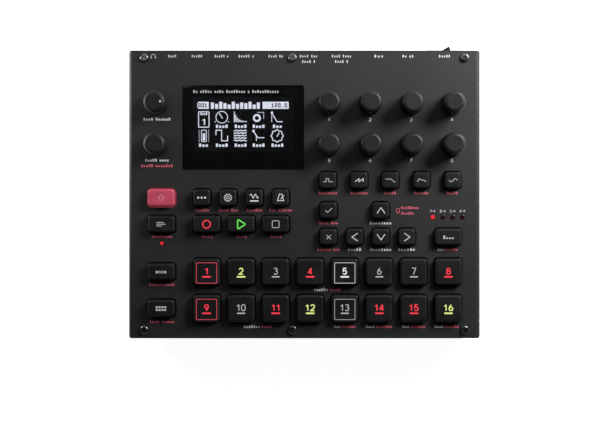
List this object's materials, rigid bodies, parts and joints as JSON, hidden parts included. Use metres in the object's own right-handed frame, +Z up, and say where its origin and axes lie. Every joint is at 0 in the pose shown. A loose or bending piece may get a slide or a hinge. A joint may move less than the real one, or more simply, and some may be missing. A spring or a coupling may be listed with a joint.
{
  "type": "drum machine",
  "caption": "Compact desktop drum machine with step keys, data knobs, a small display and sockets in its rear wall.",
  "frame": {"origin": "centre of the outline in plan, with the rocker that stands out at the rear, on the surface that the feet stand on", "axes": "+X the player's right, +Y towards the rear wall with its sockets, +Z up out of the panel"},
  "size_m": [0.215, 0.1796, 0.063],
  "materials": {
    "cover_paint": "fine-textured matte powder coat on bent steel sheet",
    "tray_paint": "fine-textured matte powder coat on bent steel sheet",
    "foot_rubber": "matte moulded rubber",
    "window_acrylic": "polished acrylic, printed black behind except over the glass",
    "display_glass": "dark blue display glass on its carrier board",
    "board": "glass-fibre circuit board with solder mask",
    "switch_plastic": "moulded switch housings",
    "encoder_metal": "die-cast housings and bushings",
    "socket_plastic": "moulded socket housings",
    "screw_steel": "black oxide steel",
    "rocker_plastic": "smooth moulded plastic",
    "key_plastic": "satin moulded plastic with a clear legend window",
    "key_plastic_red": "translucent red moulded plastic, lit from below",
    "knob_plastic": "satin soft-touch plastic on a metal shaft"
  },
  "bodies": {
    "case": {"top_cover": "cover_paint", "bottom_case": "tray_paint", "rubber_feet": "foot_rubber", "display_window": "window_acrylic", "display_module": "display_glass", "circuit_boards": "board", "key_switches": "switch_plastic", "encoders": "encoder_metal", "rear_sockets": "socket_plastic", "fasteners": "screw_steel"},
    "power_rocker": {"power_rocker": "rocker_plastic"},
    "volume_knob": {"volume_knob": "knob_plastic"},
    "level_knob": {"level_knob": "knob_plastic"},
    "data_knob_1": {"data_knob_1": "knob_plastic"},
    "data_knob_2": {"data_knob_2": "knob_plastic"},
    "data_knob_3": {"data_knob_3": "knob_plastic"},
    "data_knob_4": {"data_knob_4": "knob_plastic"},
    "data_knob_5": {"data_knob_5": "knob_plastic"},
    "data_knob_6": {"data_knob_6": "knob_plastic"},
    "data_knob_7": {"data_knob_7": "knob_plastic"},
    "data_knob_8": {"data_knob_8": "knob_plastic"},
    "record_key": {"record_key": "key_plastic"},
    "play_key": {"play_key": "key_plastic"},
    "stop_key": {"stop_key": "key_plastic"},
    "function_key": {"function_key": "key_plastic_red"},
    "track_key": {"track_key": "key_plastic"},
    "pattern_key": {"pattern_key": "key_plastic"},
    "bank_key": {"bank_key": "key_plastic"},
    "sound_menu_key": {"sound_menu_key": "key_plastic"},
    "settings_key": {"settings_key": "key_plastic"},
    "effects_key": {"effects_key": "key_plastic"},
    "metronome_key": {"metronome_key": "key_plastic"},
    "yes_key": {"yes_key": "key_plastic"},
    "no_key": {"no_key": "key_plastic"},
    "up_key": {"up_key": "key_plastic"},
    "left_key": {"left_key": "key_plastic"},
    "down_key": {"down_key": "key_plastic"},
    "right_key": {"right_key": "key_plastic"},
    "page_key": {"page_key": "key_plastic"},
    "parameter_key_1": {"parameter_key_1": "key_plastic"},
    "parameter_key_2": {"parameter_key_2": "key_plastic"},
    "parameter_key_3": {"parameter_key_3": "key_plastic"},
    "parameter_key_4": {"parameter_key_4": "key_plastic"},
    "parameter_key_5": {"parameter_key_5": "key_plastic"},
    "step_key_01": {"step_key_01": "key_plastic"},
    "step_key_02": {"step_key_02": "key_plastic"},
    "step_key_03": {"step_key_03": "key_plastic"},
    "step_key_04": {"step_key_04": "key_plastic"},
    "step_key_05": {"step_key_05": "key_plastic"},
    "step_key_06": {"step_key_06": "key_plastic"},
    "step_key_07": {"step_key_07": "key_plastic"},
    "step_key_08": {"step_key_08": "key_plastic"},
    "step_key_09": {"step_key_09": "key_plastic"},
    "step_key_10": {"step_key_10": "key_plastic"},
    "step_key_11": {"step_key_11": "key_plastic"},
    "step_key_12": {"step_key_12": "key_plastic"},
    "step_key_13": {"step_key_13": "key_plastic"},
    "step_key_14": {"step_key_14": "key_plastic"},
    "step_key_15": {"step_key_15": "key_plastic"},
    "step_key_16": {"step_key_16": "key_plastic"}
  },
  "joints": [
    {"name": "power_rocker_tilt", "type": "hinge", "parent": "case", "child": "power_rocker", "pos_m": [0.0854, 0.08348, 0.032], "axis": [0, 0, 1], "range_deg": [-31, 0]},
    {"name": "volume_knob_turn", "type": "hinge", "parent": "case", "child": "volume_knob", "pos_m": [-0.0902, 0.05345, 0.047], "axis": [0, 0, 1], "range_deg": [-60, 240]},
    {"name": "level_knob_turn", "type": "hinge", "parent": "case", "child": "level_knob", "pos_m": [-0.0902, 0.0284, 0.047], "axis": [0, 0, 1], "continuous": true},
    {"name": "data_knob_1_turn", "type": "hinge", "parent": "case", "child": "data_knob_1", "pos_m": [0.01505, 0.05345, 0.047], "axis": [0, 0, 1], "continuous": true},
    {"name": "data_knob_2_turn", "type": "hinge", "parent": "case", "child": "data_knob_2", "pos_m": [0.0401, 0.05345, 0.047], "axis": [0, 0, 1], "continuous": true},
    {"name": "data_knob_3_turn", "type": "hinge", "parent": "case", "child": "data_knob_3", "pos_m": [0.06515, 0.05345, 0.047], "axis": [0, 0, 1], "continuous": true},
    {"name": "data_knob_4_turn", "type": "hinge", "parent": "case", "child": "data_knob_4", "pos_m": [0.0902, 0.05345, 0.047], "axis": [0, 0, 1], "continuous": true},
    {"name": "data_knob_5_turn", "type": "hinge", "parent": "case", "child": "data_knob_5", "pos_m": [0.01505, 0.0284, 0.047], "axis": [0, 0, 1], "continuous": true},
    {"name": "data_knob_6_turn", "type": "hinge", "parent": "case", "child": "data_knob_6", "pos_m": [0.0401, 0.0284, 0.047], "axis": [0, 0, 1], "continuous": true},
    {"name": "data_knob_7_turn", "type": "hinge", "parent": "case", "child": "data_knob_7", "pos_m": [0.06515, 0.0284, 0.047], "axis": [0, 0, 1], "continuous": true},
    {"name": "data_knob_8_turn", "type": "hinge", "parent": "case", "child": "data_knob_8", "pos_m": [0.0902, 0.0284, 0.047], "axis": [0, 0, 1], "continuous": true},
    {"name": "record_key_press", "type": "slide", "parent": "case", "child": "record_key", "axis": [0, 0, -1], "range_m": [0, 0.0012], "stiffness_N_per_m": 800},
    {"name": "play_key_press", "type": "slide", "parent": "case", "child": "play_key", "axis": [0, 0, -1], "range_m": [0, 0.0012], "stiffness_N_per_m": 800},
    {"name": "stop_key_press", "type": "slide", "parent": "case", "child": "stop_key", "axis": [0, 0, -1], "range_m": [0, 0.0012], "stiffness_N_per_m": 800},
    {"name": "function_key_press", "type": "slide", "parent": "case", "child": "function_key", "axis": [0, 0, -1], "range_m": [0, 0.0012], "stiffness_N_per_m": 800},
    {"name": "track_key_press", "type": "slide", "parent": "case", "child": "track_key", "axis": [0, 0, -1], "range_m": [0, 0.0012], "stiffness_N_per_m": 800},
    {"name": "pattern_key_press", "type": "slide", "parent": "case", "child": "pattern_key", "axis": [0, 0, -1], "range_m": [0, 0.0012], "stiffness_N_per_m": 800},
    {"name": "bank_key_press", "type": "slide", "parent": "case", "child": "bank_key", "axis": [0, 0, -1], "range_m": [0, 0.0012], "stiffness_N_per_m": 800},
    {"name": "sound_menu_key_press", "type": "slide", "parent": "case", "child": "sound_menu_key", "axis": [0, 0, -1], "range_m": [0, 0.0012], "stiffness_N_per_m": 800},
    {"name": "settings_key_press", "type": "slide", "parent": "case", "child": "settings_key", "axis": [0, 0, -1], "range_m": [0, 0.0012], "stiffness_N_per_m": 800},
    {"name": "effects_key_press", "type": "slide", "parent": "case", "child": "effects_key", "axis": [0, 0, -1], "range_m": [0, 0.0012], "stiffness_N_per_m": 800},
    {"name": "metronome_key_press", "type": "slide", "parent": "case", "child": "metronome_key", "axis": [0, 0, -1], "range_m": [0, 0.0012], "stiffness_N_per_m": 800},
    {"name": "yes_key_press", "type": "slide", "parent": "case", "child": "yes_key", "axis": [0, 0, -1], "range_m": [0, 0.0012], "stiffness_N_per_m": 800},
    {"name": "no_key_press", "type": "slide", "parent": "case", "child": "no_key", "axis": [0, 0, -1], "range_m": [0, 0.0012], "stiffness_N_per_m": 800},
    {"name": "up_key_press", "type": "slide", "parent": "case", "child": "up_key", "axis": [0, 0, -1], "range_m": [0, 0.0012], "stiffness_N_per_m": 800},
    {"name": "left_key_press", "type": "slide", "parent": "case", "child": "left_key", "axis": [0, 0, -1], "range_m": [0, 0.0012], "stiffness_N_per_m": 800},
    {"name": "down_key_press", "type": "slide", "parent": "case", "child": "down_key", "axis": [0, 0, -1], "range_m": [0, 0.0012], "stiffness_N_per_m": 800},
    {"name": "right_key_press", "type": "slide", "parent": "case", "child": "right_key", "axis": [0, 0, -1], "range_m": [0, 0.0012], "stiffness_N_per_m": 800},
    {"name": "page_key_press", "type": "slide", "parent": "case", "child": "page_key", "axis": [0, 0, -1], "range_m": [0, 0.0012], "stiffness_N_per_m": 800},
    {"name": "parameter_key_1_press", "type": "slide", "parent": "case", "child": "parameter_key_1", "axis": [0, 0, -1], "range_m": [0, 0.0012], "stiffness_N_per_m": 800},
    {"name": "parameter_key_2_press", "type": "slide", "parent": "case", "child": "parameter_key_2", "axis": [0, 0, -1], "range_m": [0, 0.0012], "stiffness_N_per_m": 800},
    {"name": "parameter_key_3_press", "type": "slide", "parent": "case", "child": "parameter_key_3", "axis": [0, 0, -1], "range_m": [0, 0.0012], "stiffness_N_per_m": 800},
    {"name": "parameter_key_4_press", "type": "slide", "parent": "case", "child": "parameter_key_4", "axis": [0, 0, -1], "range_m": [0, 0.0012], "stiffness_N_per_m": 800},
    {"name": "parameter_key_5_press", "type": "slide", "parent": "case", "child": "parameter_key_5", "axis": [0, 0, -1], "range_m": [0, 0.0012], "stiffness_N_per_m": 800},
    {"name": "step_key_01_press", "type": "slide", "parent": "case", "child": "step_key_01", "axis": [0, 0, -1], "range_m": [0, 0.0012], "stiffness_N_per_m": 800},
    {"name": "step_key_02_press", "type": "slide", "parent": "case", "child": "step_key_02", "axis": [0, 0, -1], "range_m": [0, 0.0012], "stiffness_N_per_m": 800},
    {"name": "step_key_03_press", "type": "slide", "parent": "case", "child": "step_key_03", "axis": [0, 0, -1], "range_m": [0, 0.0012], "stiffness_N_per_m": 800},
    {"name": "step_key_04_press", "type": "slide", "parent": "case", "child": "step_key_04", "axis": [0, 0, -1], "range_m": [0, 0.0012], "stiffness_N_per_m": 800},
    {"name": "step_key_05_press", "type": "slide", "parent": "case", "child": "step_key_05", "axis": [0, 0, -1], "range_m": [0, 0.0012], "stiffness_N_per_m": 800},
    {"name": "step_key_06_press", "type": "slide", "parent": "case", "child": "step_key_06", "axis": [0, 0, -1], "range_m": [0, 0.0012], "stiffness_N_per_m": 800},
    {"name": "step_key_07_press", "type": "slide", "parent": "case", "child": "step_key_07", "axis": [0, 0, -1], "range_m": [0, 0.0012], "stiffness_N_per_m": 800},
    {"name": "step_key_08_press", "type": "slide", "parent": "case", "child": "step_key_08", "axis": [0, 0, -1], "range_m": [0, 0.0012], "stiffness_N_per_m": 800},
    {"name": "step_key_09_press", "type": "slide", "parent": "case", "child": "step_key_09", "axis": [0, 0, -1], "range_m": [0, 0.0012], "stiffness_N_per_m": 800},
    {"name": "step_key_10_press", "type": "slide", "parent": "case", "child": "step_key_10", "axis": [0, 0, -1], "range_m": [0, 0.0012], "stiffness_N_per_m": 800},
    {"name": "step_key_11_press", "type": "slide", "parent": "case", "child": "step_key_11", "axis": [0, 0, -1], "range_m": [0, 0.0012], "stiffness_N_per_m": 800},
    {"name": "step_key_12_press", "type": "slide", "parent": "case", "child": "step_key_12", "axis": [0, 0, -1], "range_m": [0, 0.0012], "stiffness_N_per_m": 800},
    {"name": "step_key_13_press", "type": "slide", "parent": "case", "child": "step_key_13", "axis": [0, 0, -1], "range_m": [0, 0.0012], "stiffness_N_per_m": 800},
    {"name": "step_key_14_press", "type": "slide", "parent": "case", "child": "step_key_14", "axis": [0, 0, -1], "range_m": [0, 0.0012], "stiffness_N_per_m": 800},
    {"name": "step_key_15_press", "type": "slide", "parent": "case", "child": "step_key_15", "axis": [0, 0, -1], "range_m": [0, 0.0012], "stiffness_N_per_m": 800},
    {"name": "step_key_16_press", "type": "slide", "parent": "case", "child": "step_key_16", "axis": [0, 0, -1], "range_m": [0, 0.0012], "stiffness_N_per_m": 800}
  ]
}
